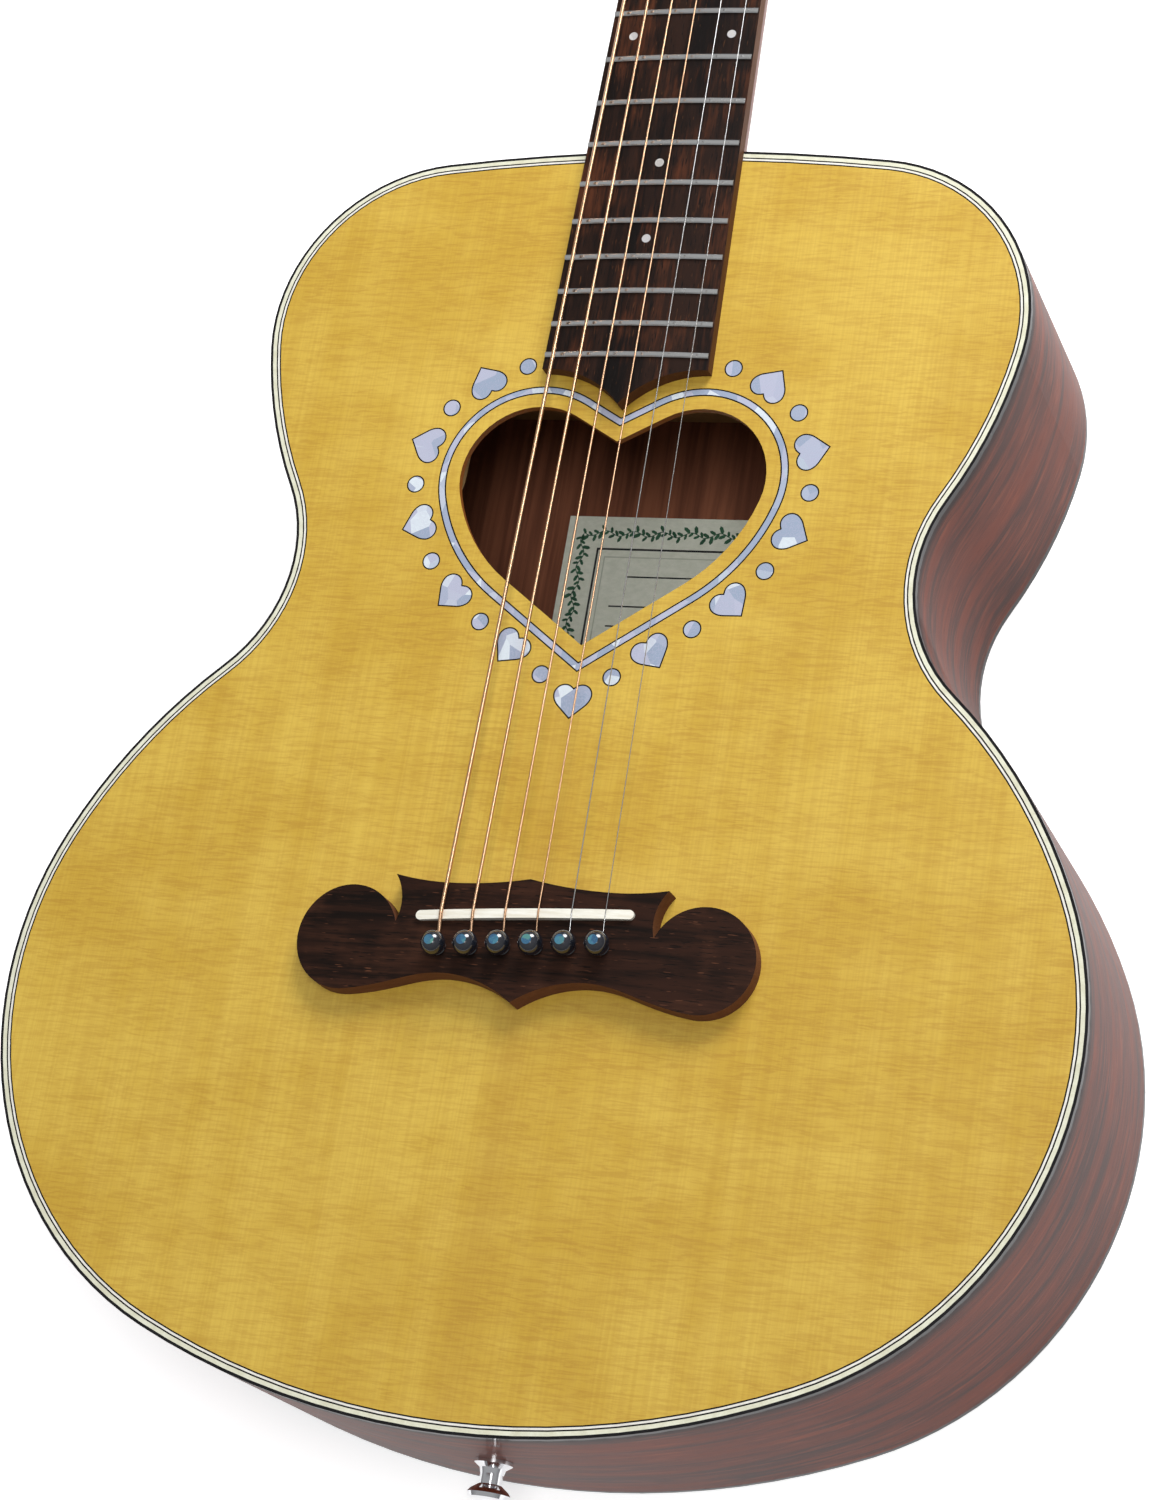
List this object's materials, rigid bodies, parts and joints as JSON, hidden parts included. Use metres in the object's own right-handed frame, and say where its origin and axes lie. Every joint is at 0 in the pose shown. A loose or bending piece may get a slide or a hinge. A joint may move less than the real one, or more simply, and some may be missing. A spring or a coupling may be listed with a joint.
{
  "type": "acoustic guitar",
  "caption": "Small-bodied steel-string acoustic guitar with a heart-shaped sound hole, shell inlay ring, scrolled rosewood bridge and geared tuners.",
  "frame": {"origin": "on the flat back, straight below the middle of the saddle line", "axes": "+Z out of the soundboard, +Y up the neck to the head, +X towards the treble side"},
  "size_m": [0.3794, 1.0184, 0.1175],
  "materials": {
    "spruce": "clear gloss over amber-tinted spruce",
    "brace_spruce": "bare",
    "mahogany": "clear gloss over reddish-brown stain",
    "neck_mahogany": "satin",
    "inner_mahogany": "bare",
    "maple": "bare",
    "black_plastic": "gloss",
    "cream_plastic": "gloss",
    "white_plastic": "gloss",
    "shell": "pearly, lacquered flush",
    "marker_shell": "pearly",
    "blue_shell": "pearly blue-green",
    "label_paper": "matt printed",
    "bridge_rosewood": "oiled",
    "board_rosewood": "oiled",
    "bone": "polished",
    "pin_black": "polished",
    "fret_wire": "polished",
    "steel": "plain",
    "brass_nut": "plain",
    "chrome_plate": "mirror",
    "bronze": "wound wire",
    "steel_wire": "drawn wire"
  },
  "bodies": {
    "guitar": {"back_braces": "brace_spruce", "back_linings": "inner_mahogany", "back_plate": "mahogany", "binding": "black_plastic", "bridge": "bridge_rosewood", "bridge_pins": "pin_black", "bridge_plate": "maple", "fingerboard": "board_rosewood", "fret_markers": "marker_shell", "frets": "fret_wire", "head_plate": "board_rosewood", "heel_cap": "black_plastic", "inlay_lines": "black_plastic", "label": "label_paper", "neck": "neck_mahogany", "neck_block": "inner_mahogany", "neck_bolts": "steel", "nut": "bone", "pin_dots": "blue_shell", "plain_strings": "steel_wire", "purfling_black": "black_plastic", "purfling_cream": "cream_plastic", "purfling_white": "white_plastic", "rosette_ring": "shell", "saddle": "bone", "shell_inlays": "shell", "side_bass": "mahogany", "side_treble": "mahogany", "soundboard": "spruce", "strap_button": "chrome_plate", "tail_block": "inner_mahogany", "tone_bars": "brace_spruce", "top_linings": "inner_mahogany", "transverse_brace": "brace_spruce", "truss_rod": "steel", "tuner_bushings": "chrome_plate", "tuner_cases": "chrome_plate", "tuner_covers": "chrome_plate", "tuner_screws": "chrome_plate", "wound_strings": "bronze", "x_braces": "brace_spruce"},
    "knob_1": {"tuner_knob_1": "chrome_plate"},
    "post_1": {"tuner_post_1": "chrome_plate", "string_coil_1": "bronze"},
    "knob_2": {"tuner_knob_2": "chrome_plate"},
    "post_2": {"tuner_post_2": "chrome_plate", "string_coil_2": "bronze"},
    "knob_3": {"tuner_knob_3": "chrome_plate"},
    "post_3": {"tuner_post_3": "chrome_plate", "string_coil_3": "bronze"},
    "knob_4": {"tuner_knob_4": "chrome_plate"},
    "post_4": {"tuner_post_4": "chrome_plate", "string_coil_4": "bronze"},
    "knob_5": {"tuner_knob_5": "chrome_plate"},
    "post_5": {"tuner_post_5": "chrome_plate", "string_coil_5": "steel_wire"},
    "knob_6": {"tuner_knob_6": "chrome_plate"},
    "post_6": {"tuner_post_6": "chrome_plate", "string_coil_6": "steel_wire"},
    "rod_nut": {"truss_rod_nut": "brass_nut"}
  },
  "joints": [
    {"name": "knob_1_turn", "type": "hinge", "parent": "guitar", "child": "knob_1", "pos_m": [-0.01824, 0.6985, 0.06753], "axis": [1, 0, 0], "continuous": true},
    {"name": "post_1_turn", "type": "hinge", "parent": "guitar", "child": "post_1", "pos_m": [-0.01824, 0.69569, 0.08936], "axis": [0, 0.2419, 0.9703], "continuous": true},
    {"name": "knob_2_turn", "type": "hinge", "parent": "guitar", "child": "knob_2", "pos_m": [-0.01969, 0.73634, 0.05809], "axis": [1, 0, 0], "continuous": true},
    {"name": "post_2_turn", "type": "hinge", "parent": "guitar", "child": "post_2", "pos_m": [-0.01969, 0.73354, 0.07992], "axis": [0, 0.2419, 0.9703], "continuous": true},
    {"name": "knob_3_turn", "type": "hinge", "parent": "guitar", "child": "knob_3", "pos_m": [-0.02113, 0.77418, 0.04866], "axis": [1, 0, 0], "continuous": true},
    {"name": "post_3_turn", "type": "hinge", "parent": "guitar", "child": "post_3", "pos_m": [-0.02113, 0.77138, 0.07049], "axis": [0, 0.2419, 0.9703], "continuous": true},
    {"name": "knob_4_turn", "type": "hinge", "parent": "guitar", "child": "knob_4", "pos_m": [0.02113, 0.77418, 0.04866], "axis": [1, 0, 0], "continuous": true},
    {"name": "post_4_turn", "type": "hinge", "parent": "guitar", "child": "post_4", "pos_m": [0.02113, 0.77138, 0.07049], "axis": [0, 0.2419, 0.9703], "continuous": true},
    {"name": "knob_5_turn", "type": "hinge", "parent": "guitar", "child": "knob_5", "pos_m": [0.01969, 0.73634, 0.05809], "axis": [1, 0, 0], "continuous": true},
    {"name": "post_5_turn", "type": "hinge", "parent": "guitar", "child": "post_5", "pos_m": [0.01969, 0.73354, 0.07992], "axis": [0, 0.2419, 0.9703], "continuous": true},
    {"name": "knob_6_turn", "type": "hinge", "parent": "guitar", "child": "knob_6", "pos_m": [0.01824, 0.6985, 0.06753], "axis": [1, 0, 0], "continuous": true},
    {"name": "post_6_turn", "type": "hinge", "parent": "guitar", "child": "post_6", "pos_m": [0.01824, 0.69569, 0.08936], "axis": [0, 0.2419, 0.9703], "continuous": true},
    {"name": "rod_nut_turn", "type": "hinge", "parent": "guitar", "child": "rod_nut", "pos_m": [0, 0.24665, 0.0915], "axis": [0, 1, 0], "range_deg": [-180, 180]}
  ],
  "couplings": [
    {"joint": "post_1_turn", "follows": "knob_1_turn", "ratio": 0.066667},
    {"joint": "post_2_turn", "follows": "knob_2_turn", "ratio": 0.066667},
    {"joint": "post_3_turn", "follows": "knob_3_turn", "ratio": 0.066667},
    {"joint": "post_4_turn", "follows": "knob_4_turn", "ratio": 0.066667},
    {"joint": "post_5_turn", "follows": "knob_5_turn", "ratio": 0.066667},
    {"joint": "post_6_turn", "follows": "knob_6_turn", "ratio": 0.066667}
  ]
}
